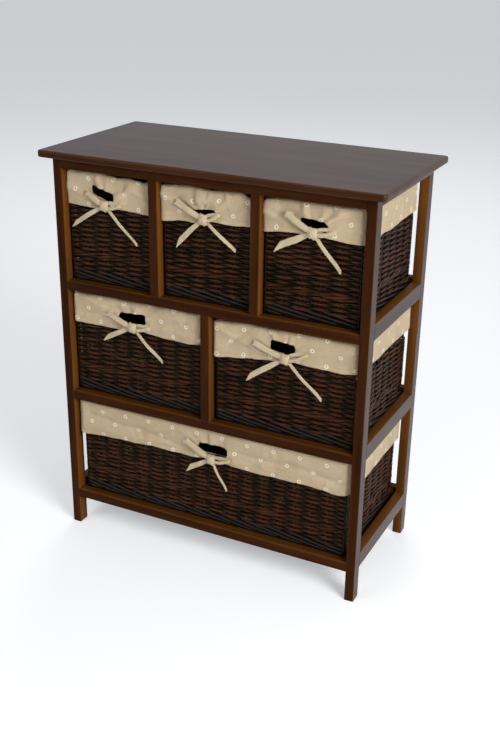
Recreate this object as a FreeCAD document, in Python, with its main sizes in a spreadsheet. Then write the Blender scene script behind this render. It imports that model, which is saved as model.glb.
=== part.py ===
import FreeCAD, Part
import math
import os
import Sketcher

# Basket chest: an open frame of posts and bars under a flat top, with six wicker baskets that pull out to the
# front. Millimetres, +Z up, the front looks along -Y. The origin is on the floor, under the middle of the top.

# Driving sizes: name, value, what it measures.
driving = [
    ("top_length", 600, "top board, left to right"),
    ("top_depth", 300, "top board, front to back"),
    ("top_thickness", 12, "top board"),
    ("top_overhang", 18, "top board past the frame, all round"),
    ("top_corner_radius", 6, "top board, seen from above"),
    ("top_edge_radius", 3.5, "top board, upper and lower arris"),
    ("post_width", 16, "posts, left to right"),
    ("post_depth", 22, "posts, front to back"),
    ("edge_round", 1.2, "long edges of posts and bars"),
    ("foot_clearance", 55, "floor to the underside of the lowest bars"),
    ("opening_bottom", 185, "clear height of the bottom row at the front"),
    ("opening_middle", 189, "clear height of the middle row at the front"),
    ("opening_top", 193, "clear height of the top row at the front"),
    ("front_rail_height", 16, "front bars under each row"),
    ("apron_height", 18, "front and rear bars under the top"),
    ("side_apron_height", 15, "side bars under the top"),
    ("side_rail_height", 28, "side bars of each row"),
    ("side_rail_lift", 2, "side bars above the underside of the front bars"),
    ("rear_rail_height", 35, "rear bars of each row, which stop the baskets"),
    ("rear_rail_thickness", 15, "rear bars, front to back"),
    ("divider_width", 16, "uprights between the baskets"),
    ("left_divider_shift", -2, "left divider of the top row beside its third of the width"),
    ("right_divider_shift", -4, "right divider of the top row beside its third of the width"),
    ("runner_height", 12, "all runners"),
    ("runner_width", 26, "runners, from the side bar or the divider under the foot of the basket"),
    ("dowel_diameter", 5, "beech dowels"),
    ("dowel_length", 15, "beech dowels"),
    ("dowel_play", 0.1, "dowel to its hole, on the radius"),
    ("dowel_end_play", 0.5, "dowel to the bottom of its hole"),
    ("centre_runner_dowel_pitch", 30, "the two dowels in each end of a centre runner"),
    ("screw_diameter", 3.6, "screw shanks"),
    ("screw_head_diameter", 7, "countersunk heads"),
    ("screw_head_height", 2.4, "countersunk heads"),
    ("screw_play", 0.1, "screw to its hole"),
    ("top_screw_bite", 7, "top screws into the top board"),
    ("runner_screw_bite", 9, "runner screws into the side bars"),
    ("seat_gap", 0.3, "basket above its runners"),
    ("basket_set_back", 12, "cuff behind the front of the frame"),
    ("basket_rear_gap", 2.5, "cuff to the rear bars"),
    ("basket_side_gap_top", 1, "cuff to the posts and dividers, top row"),
    ("basket_side_gap_middle", 5, "cuff to the posts and dividers, middle row"),
    ("basket_side_gap_bottom", 10, "cuff to the posts, bottom row"),
    ("right_basket_shift", -3.5, "top right basket beside the middle of its opening"),
    ("basket_head_gap", 4.7, "cuff under the lowest front bar"),
    ("basket_corner_radius", 6, "outer corners, seen from above"),
    ("hollow_corner_radius", 4, "inner corners, seen from above"),
    ("basket_taper", 3, "wall leans in from rim to foot"),
    ("wicker_wall", 8, "rods and stakes together"),
    ("wicker_floor", 8, "woven floor"),
    ("border_height", 12, "foot border"),
    ("border_proud", 1.5, "foot border past the wall"),
    ("foot_ease", 2, "rounding under the foot border"),
    ("row_depth", 1.5, "grooves between the rows of rods"),
    ("row_cover", 5, "rows carried on under the cuff"),
    ("waling_height", 44, "floor of the chest to the lower edge of the waling"),
    ("waling_width", 9, "band of waling"),
    ("waling_proud", 1, "waling past the wall"),
    ("waling_slope", 1.5, "height in which a band comes forward"),
    ("cuff_proud", 2, "folded cloth past the wicker and above the rim"),
    ("cuff_depth_top", 46, "cloth cuff down the outside, top row"),
    ("cuff_depth_middle", 51, "cloth cuff down the outside, middle row"),
    ("cuff_depth_bottom", 59, "cloth cuff down the outside, bottom row"),
    ("cuff_fold_round", 1.6, "rounding of the fold over the rim"),
    ("liner_gap", 0.3, "cloth to the wicker"),
    ("liner_cloth", 1.5, "cloth inside the basket"),
    ("hand_hole_width", 46, "hand hole"),
    ("hand_hole_height", 18, "hand hole"),
    ("hand_hole_round", 8.5, "corners of the hand hole"),
    ("hand_hole_drop", 23, "cuff's top to the middle of the hand hole"),
    ("knot_size", 13, "knot, both ways"),
    ("knot_round", 4, "knot's corners"),
    ("knot_thickness", 7, "knot"),
    ("tie_gap", 0.3, "tie to the cuff"),
    ("loop_thickness", 4, "loops of the bow"),
    ("loop_width", 13, "loops at their widest"),
    ("loop_tip_width", 7, "loops at their ends"),
    ("tail_thickness", 1.6, "tails of the bow"),
    ("tail_width", 9, "tails"),
    ("tail_root_width", 5, "loops and tails where they leave the knot"),
    ("cut_overrun", 2, "cuts past the face they come out of"),
]

# How each bow was tied: where its knot sits beside the basket's middle and under the cuff's top, then length and
# angle of each limb. Angles are degrees up from the viewer's right.
bows = {
    "top_left": {"knot_aside": -10, "knot_drop": 46,
             "left_loop": (37, 141), "right_loop": (36, 17),
             "left_tail": (62, 210), "right_tail": (82, 321)},
    "top_middle": {"knot_aside": -5, "knot_drop": 41,
             "left_loop": (58, 155), "right_loop": (32, 4),
             "left_tail": (69, 224), "right_tail": (74, 324)},
    "top_right": {"knot_aside": 3, "knot_drop": 38,
             "left_loop": (57, 157), "right_loop": (39, 15),
             "left_tail": (70, 207), "right_tail": (72, 311)},
    "middle_left": {"knot_aside": -3, "knot_drop": 42,
             "left_loop": (56, 161), "right_loop": (35, 10),
             "left_tail": (69, 207), "right_tail": (80, 318)},
    "middle_right": {"knot_aside": 5, "knot_drop": 42,
             "left_loop": (64, 164), "right_loop": (42, 24),
             "left_tail": (86, 214), "right_tail": (90, 317)},
    "bottom": {"knot_aside": 9, "knot_drop": 52,
             "left_loop": (59, 155), "right_loop": (36, 11),
             "left_tail": (62, 218), "right_tail": (65, 298)},
}

# Places as shares of the piece that carries them.
mid_share = 0.5
apron_dowel_share = 0.25
side_apron_dowel_share = 0.6
rear_dowel_shares = (0.25, 0.75)
front_screw_shares = (-0.36, 0.0, 0.36)
runner_screw_shares = (0.15, 0.85)
belly_share = 0.6

# Rows of rods that show as ridges on a basket, under the band of waling and over it.
low_rows = 3
high_rows = 9

# How far a face's normal leans to the vertical to count as level.
level_normal = 0.9


class Size:
    """A number with the spreadsheet formula that gives it, so that every sum of sizes stays live."""

    def __init__(self, number, text):
        self.number = number
        self.text = text

    def __add__(self, other):
        other = as_size(other)
        return Size(self.number + other.number, f"({self.text} + {other.text})")

    def __sub__(self, other):
        other = as_size(other)
        return Size(self.number - other.number, f"({self.text} - {other.text})")

    def __mul__(self, other):
        other = as_size(other)
        return Size(self.number * other.number, f"({self.text} * {other.text})")

    def __truediv__(self, other):
        other = as_size(other)
        return Size(self.number / other.number, f"({self.text} / {other.text})")

    def __neg__(self):
        return Size(-self.number, f"(0 - {self.text})")


def as_size(value):
    return value if isinstance(value, Size) else Size(value, f"({value})")


def least(*values):
    """The smallest of several sizes."""
    return Size(min(v.number for v in values), "min(" + "; ".join(v.text for v in values) + ")")


doc = FreeCAD.newDocument("basket_chest")
sheet = doc.addObject("Spreadsheet::Sheet", "sizes")
size = {}


def enter(row, name, value, note):
    """Writes one driving size on its own row of the sheet."""
    sheet.set(f"A{row}", name)
    sheet.set(f"B{row}", str(value))
    sheet.setAlias(f"B{row}", name)
    sheet.set(f"C{row}", note)
    size[name] = Size(value, f"sizes.{name}")


for name, value, note in driving:
    enter(len(size) + 1, name, value, note)
for basket, bow in bows.items():
    enter(len(size) + 1, f"{basket}_knot_aside", bow["knot_aside"], "knot beside the basket's middle")
    enter(len(size) + 1, f"{basket}_knot_drop", bow["knot_drop"], "cuff's top to the middle of the knot")
    for limb in ("left_loop", "right_loop", "left_tail", "right_tail"):
        length, angle = bow[limb]
        enter(len(size) + 1, f"{basket}_{limb}_length", length, "limb of the bow")
        enter(len(size) + 1, f"{basket}_{limb}_angle", angle, "its direction in degrees")
doc.recompute()

# Sizes and places that several pieces share.
frame_width = size["top_length"] - size["top_overhang"] * 2
frame_depth = size["top_depth"] - size["top_overhang"] * 2
inside_half = frame_width / 2 - size["post_width"]
inside_width = inside_half * 2
front = -frame_depth / 2
rear = frame_depth / 2
front_bar_y = front + size["post_depth"] / 2
rear_post_y = rear - size["post_depth"] / 2
rear_bar_y = rear - size["rear_rail_thickness"] / 2
post_x = inside_half + size["post_width"] / 2
back_of_front = front + size["post_depth"]
front_of_rear_post = rear - size["post_depth"]
front_of_rear_bar = rear - size["rear_rail_thickness"]

rail_step = size["front_rail_height"]
low = {
    "bottom": size["foot_clearance"],
    "middle": size["foot_clearance"] + rail_step + size["opening_bottom"],
    "top": size["foot_clearance"] + rail_step * 2 + size["opening_bottom"] + size["opening_middle"],
}
seat = {row: low[row] + rail_step for row in low}
apron_low = seat["top"] + size["opening_top"]
frame_height = apron_low + size["apron_height"]
side_apron_low = frame_height - size["side_apron_height"]

half_divider = size["divider_width"] / 2
third_step = (inside_width + size["divider_width"]) / 3
left_divider_x = size["left_divider_shift"] - third_step / 2
right_divider_x = size["right_divider_shift"] + third_step / 2
bay = {
    "bottom": inside_width,
    "middle": inside_half - half_divider,
    "top": least(left_divider_x - half_divider + inside_half,
                 right_divider_x - left_divider_x - size["divider_width"],
                 inside_half - right_divider_x - half_divider),
}
zero = inside_half * 0

basket_height = (least(size["opening_bottom"], size["opening_middle"], size["opening_top"])
                 - size["seat_gap"] - size["basket_head_gap"])
rim_height = basket_height - size["cuff_proud"]
wicker_depth = (frame_depth - size["rear_rail_thickness"] - size["basket_rear_gap"]
                - size["basket_set_back"] - size["cuff_proud"] * 2)
basket_y = front + size["basket_set_back"] + size["cuff_proud"] + wicker_depth / 2
centre_runner_width = size["divider_width"] + size["runner_width"] * 2

bodies = {}
starts = {}
subparts = []
cuts = []
dowels = {}
screws = {}


def bind(item, path, value):
    """Ties one property of an object to its formula."""
    item.setExpression(path, value.text)


def new_body(label, start):
    """An empty body whose own origin stands at the start point."""
    body = doc.addObject("PartDesign::Body", label)
    body.Label = label
    for axis, value in zip("xyz", start):
        bind(body, f"Placement.Base.{axis}", value)
    bodies[label] = body
    starts[label] = start
    subparts.append(body)
    return body


def new_sketch(body, name, role, shift, angle=None):
    """A sketch on one of the body's origin planes, moved by shift in the plane's own directions."""
    sketch = body.newObject("Sketcher::SketchObject", name)
    plane = next(item for item in body.Origin.OriginFeatures if item.Role == role)
    sketch.AttachmentSupport = (plane, "")
    sketch.MapMode = "FlatFace"
    if angle is not None:
        sketch.AttachmentOffset = FreeCAD.Placement(
            FreeCAD.Vector(), FreeCAD.Rotation(FreeCAD.Vector(0, 0, 1), angle.number))
        bind(sketch, "AttachmentOffset.Rotation.Angle", angle)
    for axis, value in zip("xyz", shift):
        bind(sketch, f"AttachmentOffset.Base.{axis}", value)
    return sketch


def measure(sketch, kind, refs, name, value):
    """Adds one named dimension that follows its formula."""
    index = sketch.addConstraint(Sketcher.Constraint(kind, *refs, value.number))
    sketch.renameConstraint(index, name)
    sketch.setExpression(f"Constraints.{name}", value.text)


def rounded_rectangle(sketch, width, height, radius):
    """A rectangle about the sketch's origin with four round corners."""
    across = width.number / 2
    up = height.number / 2
    right = across - radius.number
    high = up - radius.number
    sides = [
        ((-right, -up), (right, -up)),
        ((across, -high), (across, high)),
        ((right, up), (-right, up)),
        ((-across, high), (-across, -high)),
    ]
    corners = [(right, -high, -0.5), (right, high, 0.0), (-right, high, 0.5), (-right, -high, 1.0)]
    for begin, end in sides:
        sketch.addGeometry(Part.LineSegment(FreeCAD.Vector(*begin, 0), FreeCAD.Vector(*end, 0)), False)
    for x, y, turn in corners:
        circle = Part.Circle(FreeCAD.Vector(x, y, 0), FreeCAD.Vector(0, 0, 1), radius.number)
        sketch.addGeometry(Part.ArcOfCircle(circle, turn * math.pi, (turn + 0.5) * math.pi), False)
    for i in range(4):
        sketch.addConstraint(Sketcher.Constraint("Tangent", i, 2, i + 4, 1))
        sketch.addConstraint(Sketcher.Constraint("Tangent", i + 4, 2, (i + 1) % 4, 1))
    for i in range(4):
        sketch.addConstraint(Sketcher.Constraint(("Horizontal", "Vertical")[i % 2], i))
    for i in range(1, 4):
        sketch.addConstraint(Sketcher.Constraint("Equal", 4, i + 4))
    sketch.addConstraint(Sketcher.Constraint("Symmetric", 0, 1, 2, 1, -1, 1))
    measure(sketch, "DistanceX", (3, 1, 1, 1), "wide", width)
    measure(sketch, "DistanceY", (0, 1, 2, 1), "high", height)
    measure(sketch, "Radius", (4,), "round", radius)


def leaf(sketch, length, root, belly, tip):
    """A flat limb along the sketch's own x axis: narrow root, widest at its belly, blunt tip."""
    ahead = [length * 0, length * belly_share, length]
    aside = [root / 2, belly / 2, tip / 2]
    upper = [(a.number, b.number) for a, b in zip(ahead, aside)]
    outline = upper + [(x, -y) for x, y in reversed(upper)]
    for i, (x, y) in enumerate(outline):
        x2, y2 = outline[(i + 1) % len(outline)]
        sketch.addGeometry(Part.LineSegment(FreeCAD.Vector(x, y, 0), FreeCAD.Vector(x2, y2, 0)), False)
    for i in range(6):
        sketch.addConstraint(Sketcher.Constraint("Coincident", i, 2, (i + 1) % 6, 1))
    sketch.addConstraint(Sketcher.Constraint("PointOnObject", 0, 1, -2))
    for i in range(3):
        measure(sketch, "DistanceY", (-1, 1, i, 1), f"aside_{i}", aside[i])
        sketch.addConstraint(Sketcher.Constraint("Symmetric", i, 1, 5 - i, 1, -1))
    for i in (1, 2):
        measure(sketch, "DistanceX", (-1, 1, i, 1), f"ahead_{i}", ahead[i])


def pad(body, sketch, length, reverse=False):
    """Solid of a sketch along its own normal, or against it."""
    made = body.newObject("PartDesign::Pad", "Pad")
    made.Profile = sketch
    bind(made, "Length", length)
    made.Reversed = reverse
    body.Tip = made
    return made


def pocket(body, sketch, length, reverse):
    """Cut of a sketch through one wall."""
    made = body.newObject("PartDesign::Pocket", "Pocket")
    made.Profile = sketch
    bind(made, "Length", length)
    made.Reversed = reverse
    body.Tip = made
    cuts.append(made)
    return made


def bar(label, along, start, width, height, length):
    """A straight bar of rounded section. Start is the middle of its section at the low end of its run."""
    body = new_body(label, start)
    role, reverse = {"X": ("YZ_Plane", False), "Y": ("XZ_Plane", True), "Z": ("XY_Plane", False)}[along]
    sketch = new_sketch(body, "Section", role, ())
    rounded_rectangle(sketch, width, height, size["edge_round"])
    pad(body, sketch, length, reverse)
    return body


turns = {
    "X": FreeCAD.Rotation(FreeCAD.Vector(0, 1, 0), 90),
    "Y": FreeCAD.Rotation(FreeCAD.Vector(1, 0, 0), -90),
    "Z": FreeCAD.Rotation(),
    "-X": FreeCAD.Rotation(FreeCAD.Vector(0, 1, 0), -90),
}


def set_place(item, along, point):
    """Puts a round piece at a point with its axis along X, Y, Z or -X."""
    item.Placement = FreeCAD.Placement(FreeCAD.Vector(), turns[along])
    for axis, value in zip("xyz", point):
        bind(item, f"Placement.Base.{axis}", value)


def moved(point, along, distance):
    """The point, moved along a direction."""
    step = -distance if along.startswith("-") else distance
    return [value + step if axis == along[-1].lower() else value for axis, value in zip("xyz", point)]


def bore(label, point, along, radius, length):
    """A round hole in a finished bar, from a point in the chest's frame."""
    body = bodies[label]
    hole = body.newObject("PartDesign::SubtractiveCylinder", "Bore")
    bind(hole, "Radius", radius)
    bind(hole, "Height", length)
    set_place(hole, along, [value - own for value, own in zip(point, starts[label])])
    body.Tip = hole
    cuts.append(hole)


def dowel(group, point, along, *labels):
    """One dowel through the joint face at a point, and its hole in the two pieces that meet there."""
    peg = doc.addObject("Part::Cylinder", "Dowel")
    bind(peg, "Radius", size["dowel_diameter"] / 2)
    bind(peg, "Height", size["dowel_length"])
    set_place(peg, along, moved(point, along, -size["dowel_length"] / 2))
    dowels.setdefault(group, []).append(peg)
    reach = size["dowel_length"] / 2 + size["dowel_end_play"]
    for label in labels:
        bore(label, moved(point, along, -reach), along, size["dowel_diameter"] / 2 + size["dowel_play"], reach * 2)


def screw(group, point, along, depth, bite, outer, inner):
    """A countersunk screw whose head is flush at the point, through the outer piece into the inner one."""
    head = doc.addObject("Part::Cone", "Head")
    bind(head, "Radius1", size["screw_head_diameter"] / 2)
    bind(head, "Radius2", size["screw_diameter"] / 2)
    bind(head, "Height", size["screw_head_height"])
    set_place(head, along, point)
    shank = doc.addObject("Part::Cylinder", "Shank")
    bind(shank, "Radius", size["screw_diameter"] / 2)
    bind(shank, "Height", depth + bite - size["screw_head_height"])
    set_place(shank, along, moved(point, along, size["screw_head_height"]))
    whole = doc.addObject("Part::Fuse", "Screw")
    whole.Base = head
    whole.Tool = shank
    screws.setdefault(group, []).append(whole)
    body = bodies[outer]
    sink = body.newObject("PartDesign::SubtractiveCone", "Countersink")
    bind(sink, "Radius1", size["screw_head_diameter"] / 2 + size["screw_play"])
    bind(sink, "Radius2", size["screw_diameter"] / 2 + size["screw_play"])
    bind(sink, "Height", size["screw_head_height"] + size["screw_play"])
    set_place(sink, along, [value - own for value, own in zip(point, starts[outer])])
    body.Tip = sink
    cuts.append(sink)
    for label in (outer, inner):
        bore(label, point, along, size["screw_diameter"] / 2 + size["screw_play"],
             depth + bite + size["dowel_end_play"])


def grouped(label, members):
    """Several separate solids of one kind as one sub-part."""
    group = doc.addObject("Part::Compound", label)
    group.Label = label
    group.Links = members
    subparts.append(group)


def make_top():
    """The top board: a rounded rectangle with its upper and lower arris eased."""
    body = new_body("top_panel", (zero, zero, frame_height))
    sketch = new_sketch(body, "Outline", "XY_Plane", ())
    rounded_rectangle(sketch, size["top_length"], size["top_depth"], size["top_corner_radius"])
    board = pad(body, sketch, size["top_thickness"])
    doc.recompute()
    faces = [f"Face{i + 1}" for i, face in enumerate(board.Shape.Faces)
             if abs(face.normalAt(0, 0).z) > level_normal]
    ease = body.newObject("PartDesign::Fillet", "Arris")
    ease.Base = (board, faces)
    bind(ease, "Radius", size["top_edge_radius"])
    body.Tip = ease


def make_posts():
    """Four posts, which are also the feet."""
    for side, x in (("left", -post_x), ("right", post_x)):
        for end, y in (("front", front_bar_y), ("rear", rear_post_y)):
            bar(f"post_{end}_{side}", "Z", (x, y, zero), size["post_width"], size["post_depth"], frame_height)


def cross_bar(label, y, depth, z_low, height, dowel_shares, group, end):
    """A bar from left post to right post, dowelled into both."""
    bar(label, "X", (-inside_half, y, z_low + height / 2), depth, height, inside_width)
    for side, x in (("left", -inside_half), ("right", inside_half)):
        for share in dowel_shares:
            dowel(group, (x, y, z_low + height * share), "X", label, f"post_{end}_{side}")


def make_front_and_rear():
    """The four bars across the front and the four across the rear."""
    for row in low:
        cross_bar(f"front_rail_{row}", front_bar_y, size["post_depth"], low[row], size["front_rail_height"],
                  (mid_share,), "front_dowels", "front")
        cross_bar(f"rear_rail_{row}", rear_bar_y, size["rear_rail_thickness"], low[row],
                  size["rear_rail_height"], rear_dowel_shares, "rear_dowels", "rear")
    cross_bar("front_apron", front_bar_y, size["post_depth"], apron_low, size["apron_height"],
              (apron_dowel_share,), "front_dowels", "front")
    cross_bar("rear_apron", rear_bar_y, size["rear_rail_thickness"], apron_low, size["apron_height"],
              (apron_dowel_share,), "rear_dowels", "rear")


def side_bar(label, side, x, z_low, height, dowel_share):
    """A bar from front post to rear post on one side."""
    bar(label, "Y", (x, back_of_front, z_low + height / 2), size["post_width"], height,
        front_of_rear_post - back_of_front)
    for end, y in (("front", back_of_front), ("rear", front_of_rear_post)):
        dowel("side_dowels", (x, y, z_low + height * dowel_share), "Y", label, f"post_{end}_{side}")


def make_sides():
    """The four bars of each end frame."""
    for side, x in (("left", -post_x), ("right", post_x)):
        for row in low:
            side_bar(f"side_rail_{row}_{side}", side, x, low[row] + size["side_rail_lift"],
                     size["side_rail_height"], mid_share)
        side_bar(f"side_apron_{side}", side, x, side_apron_low, size["side_apron_height"],
                 side_apron_dowel_share)


def make_dividers():
    """The uprights between neighbouring baskets, dowelled into the bars above and below."""
    places = [
        ("divider_top_left", left_divider_x, "top", "front_rail_top", "front_apron"),
        ("divider_top_right", right_divider_x, "top", "front_rail_top", "front_apron"),
        ("divider_middle", zero, "middle", "front_rail_middle", "front_rail_top"),
    ]
    for label, x, row, below, above in places:
        height = size[f"opening_{row}"]
        bar(label, "Z", (x, front_bar_y, seat[row]), size["divider_width"], size["post_depth"], height)
        dowel("divider_dowels", (x, front_bar_y, seat[row]), "Z", label, below)
        dowel("divider_dowels", (x, front_bar_y, seat[row] + height), "Z", label, above)


def make_runners():
    """What the baskets stand on: strips screwed to the side bars, and strips from front bar to rear bar."""
    length = front_of_rear_bar - back_of_front
    for row in low:
        z = seat[row] - size["runner_height"] / 2
        for side, sign in (("left", -1), ("right", 1)):
            label = f"runner_{row}_{side}"
            inner = (inside_half - size["runner_width"]) * sign
            x = (inside_half - size["runner_width"] / 2) * sign
            bar(label, "Y", (x, back_of_front, z), size["runner_width"], size["runner_height"], length)
            for share in runner_screw_shares:
                point = (inner, back_of_front + (front_of_rear_post - back_of_front) * share, z)
                screw("runner_screws", point, "X" if sign > 0 else "-X", size["runner_width"],
                      size["runner_screw_bite"], label, f"side_rail_{row}_{side}")
    centres = [
        ("runner_top_centre_left", left_divider_x, "top"),
        ("runner_top_centre_right", right_divider_x, "top"),
        ("runner_middle_centre", zero, "middle"),
        ("runner_bottom_centre", zero, "bottom"),
    ]
    for label, x, row in centres:
        z = seat[row] - size["runner_height"] / 2
        bar(label, "Y", (x, back_of_front, z), centre_runner_width, size["runner_height"], length)
        for sign in (-1, 1):
            aside = x + size["centre_runner_dowel_pitch"] / 2 * sign
            dowel("runner_dowels", (aside, back_of_front, z), "Y", label, f"front_rail_{row}")
            dowel("runner_dowels", (aside, front_of_rear_bar, z), "Y", label, f"rear_rail_{row}")


def make_top_screws():
    """Screws up through the bars under the top into the board."""
    for share in front_screw_shares:
        x = frame_width * share
        for label, y in (("front_apron", front_bar_y), ("rear_apron", rear_bar_y)):
            screw("top_screws", (x, y, apron_low), "Z", size["apron_height"], size["top_screw_bite"],
                  label, "top_panel")
    for side, x in (("left", -post_x), ("right", post_x)):
        screw("top_screws", (x, zero, side_apron_low), "Z", size["side_apron_height"], size["top_screw_bite"],
              f"side_apron_{side}", "top_panel")


def ruled_loft(body, kind, sections):
    """A loft through rounded rectangles about the body's axis, each given as height, width, depth and radius."""
    sketches = []
    for height, width, depth, radius in sections:
        sketch = new_sketch(body, "Section", "XY_Plane", (zero, zero, height))
        rounded_rectangle(sketch, width, depth, radius)
        sketches.append(sketch)
    made = body.newObject(f"PartDesign::{kind}Loft", "Loft")
    made.Profile = sketches[0]
    made.Sections = sketches[1:]
    made.Ruled = True
    body.Tip = made
    if kind == "Subtractive":
        cuts.append(made)
    return made


def hand_hole(body, aside, depth):
    """The rounded hole through the front wall."""
    sketch = new_sketch(body, "HandHole", "XZ_Plane", (aside, basket_height - size["hand_hole_drop"], zero))
    rounded_rectangle(sketch, size["hand_hole_width"], size["hand_hole_height"], size["hand_hole_round"])
    pocket(body, sketch, depth / 2 + size["cuff_proud"] + size["cut_overrun"], True)


def make_wicker(name, start, width, depth, aside, cuff_depth):
    """A basket: walls that lean out, a foot border, rows of rods, a band of waling, a hollow and a hand hole."""
    body = new_body(f"wicker_{name}", start)
    outer = size["basket_corner_radius"]

    def wall(height, proud, radius=None):
        lean = size["basket_taper"] * 2 * (Size(1, "1") - height / rim_height)
        return (height, width - lean + proud * 2, depth - lean + proud * 2, radius or outer + proud)

    def rows(low_edge, high_edge, count):
        step = (high_edge - low_edge) / count
        ridges = [wall(low_edge, -size["row_depth"])]
        for i in range(count):
            ridges.append(wall(low_edge + step * (i + mid_share), zero))
            ridges.append(wall(low_edge + step * (i + 1), -size["row_depth"]))
        return ridges

    slope = size["waling_slope"]
    band = size["waling_height"]
    band_top = band + size["waling_width"]
    covered = basket_height - cuff_depth + size["row_cover"]
    ruled_loft(body, "Additive", [
        wall(zero, -size["foot_ease"]),
        wall(size["foot_ease"], size["border_proud"]),
        wall(size["border_height"], size["border_proud"]),
        *rows(size["border_height"] + slope, band, low_rows),
        wall(band + slope, size["waling_proud"]),
        wall(band_top - slope, size["waling_proud"]),
        *rows(band_top, covered, high_rows),
        wall(covered + slope, zero),
        wall(rim_height, zero),
    ])
    ruled_loft(body, "Subtractive", [
        wall(size["wicker_floor"], -size["wicker_wall"], size["hollow_corner_radius"]),
        wall(rim_height, -size["wicker_wall"], size["hollow_corner_radius"]),
    ])
    hand_hole(body, aside, depth)


def make_liner(name, start, width, depth, aside, cuff_depth):
    """A cloth bag that hangs in the basket, folded over the rim as a cuff, with the same hand hole."""
    body = new_body(f"liner_{name}", start)
    outer = size["basket_corner_radius"]
    fold = size["cuff_fold_round"]
    proud = size["cuff_proud"]
    cuff_low = basket_height - cuff_depth

    def around(height, lean_height, grow, radius=None):
        lean = size["basket_taper"] * 2 * (Size(1, "1") - lean_height / rim_height)
        return (height, width - lean + grow * 2, depth - lean + grow * 2, radius or outer + grow)

    inside = -(size["wicker_wall"] + size["liner_gap"])
    bag_radius = size["hollow_corner_radius"] - size["liner_gap"]
    bag_inner_radius = bag_radius - size["liner_cloth"]
    bag_low = size["wicker_floor"] + size["liner_gap"]
    under_fold = rim_height + size["liner_gap"]
    ruled_loft(body, "Additive", [
        around(cuff_low, rim_height, proud),
        around(basket_height - fold, rim_height, proud),
        around(basket_height, rim_height, proud - fold / 2),
    ])
    ruled_loft(body, "Subtractive", [
        around(cuff_low - size["cut_overrun"], cuff_low - size["cut_overrun"], size["liner_gap"]),
        around(under_fold, rim_height, size["liner_gap"]),
    ])
    ruled_loft(body, "Additive", [
        around(bag_low, bag_low, inside, bag_radius),
        around(under_fold + size["liner_cloth"], rim_height, inside, bag_radius),
    ])
    ruled_loft(body, "Subtractive", [
        around(bag_low + size["liner_cloth"], bag_low + size["liner_cloth"], inside - size["liner_cloth"],
               bag_inner_radius),
        around(basket_height + size["cut_overrun"], rim_height, inside - size["liner_cloth"],
               bag_inner_radius),
    ])
    hand_hole(body, aside, depth)


def make_tie(name, start, depth, aside):
    """A bow of the same cloth: a knot, two loops and two tails, lying on the cuff."""
    body = new_body(f"tie_{name}", start)
    back = depth / 2 + size["cuff_proud"] + size["tie_gap"]
    knot = (aside, basket_height - size[f"{name}_knot_drop"], back)
    sketch = new_sketch(body, "Knot", "XZ_Plane", knot)
    rounded_rectangle(sketch, size["knot_size"], size["knot_size"], size["knot_round"])
    pad(body, sketch, size["knot_thickness"])
    for limb in ("left_loop", "right_loop", "left_tail", "right_tail"):
        sketch = new_sketch(body, limb, "XZ_Plane", knot, size[f"{name}_{limb}_angle"])
        if limb.endswith("loop"):
            widths = (size["loop_width"], size["loop_tip_width"])
            thickness = size["loop_thickness"]
        else:
            widths = (size["tail_width"], size["tail_width"])
            thickness = size["tail_thickness"]
        leaf(sketch, size[f"{name}_{limb}_length"], size["tail_root_width"], *widths)
        pad(body, sketch, thickness)


def make_baskets():
    """Six baskets in three rows, each with its liner and its bow."""
    places = [
        ("top_left", (left_divider_x - half_divider - inside_half) / 2, "top"),
        ("top_middle", (left_divider_x + right_divider_x) / 2, "top"),
        ("top_right", (right_divider_x + half_divider + inside_half) / 2 + size["right_basket_shift"], "top"),
        ("middle_left", -(inside_half + half_divider) / 2, "middle"),
        ("middle_right", (inside_half + half_divider) / 2, "middle"),
        ("bottom", zero, "bottom"),
    ]
    for name, x, row in places:
        start = (x, basket_y, seat[row] + size["seat_gap"])
        width = bay[row] - (size[f"basket_side_gap_{row}"] + size["cuff_proud"]) * 2
        aside = size[f"{name}_knot_aside"]
        make_wicker(name, start, width, wicker_depth, aside, size[f"cuff_depth_{row}"])
        make_liner(name, start, width, wicker_depth, aside, size[f"cuff_depth_{row}"])
        make_tie(name, start, wicker_depth, aside)


make_top()
make_posts()
make_front_and_rear()
make_sides()
make_dividers()
make_runners()
make_top_screws()
make_baskets()
for label, members in {**dowels, **screws}.items():
    grouped(label, members)
doc.recompute()

for item in doc.Objects:
    if "Invalid" in item.State or "Error" in item.State:
        raise RuntimeError(f"{item.Label} failed: {item.State}")
for cut in cuts:
    if not cut.Shape.Volume < cut.BaseFeature.Shape.Volume:
        raise RuntimeError(f"{cut.Label} cuts nothing")
os.makedirs("parts", exist_ok=True)
for part in subparts:
    if part.Shape.isNull() or not part.Shape.isValid():
        raise RuntimeError(f"{part.Label} has no valid shape")
for part in subparts:
    part.Shape.exportStep(f"parts/{part.Label}.step")
print(f"{len(subparts)} sub-parts, {sum(len(part.Shape.Solids) for part in subparts)} solids")
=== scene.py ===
import math

import bmesh
import bpy
from mathutils import Matrix, Vector, noise


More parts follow.
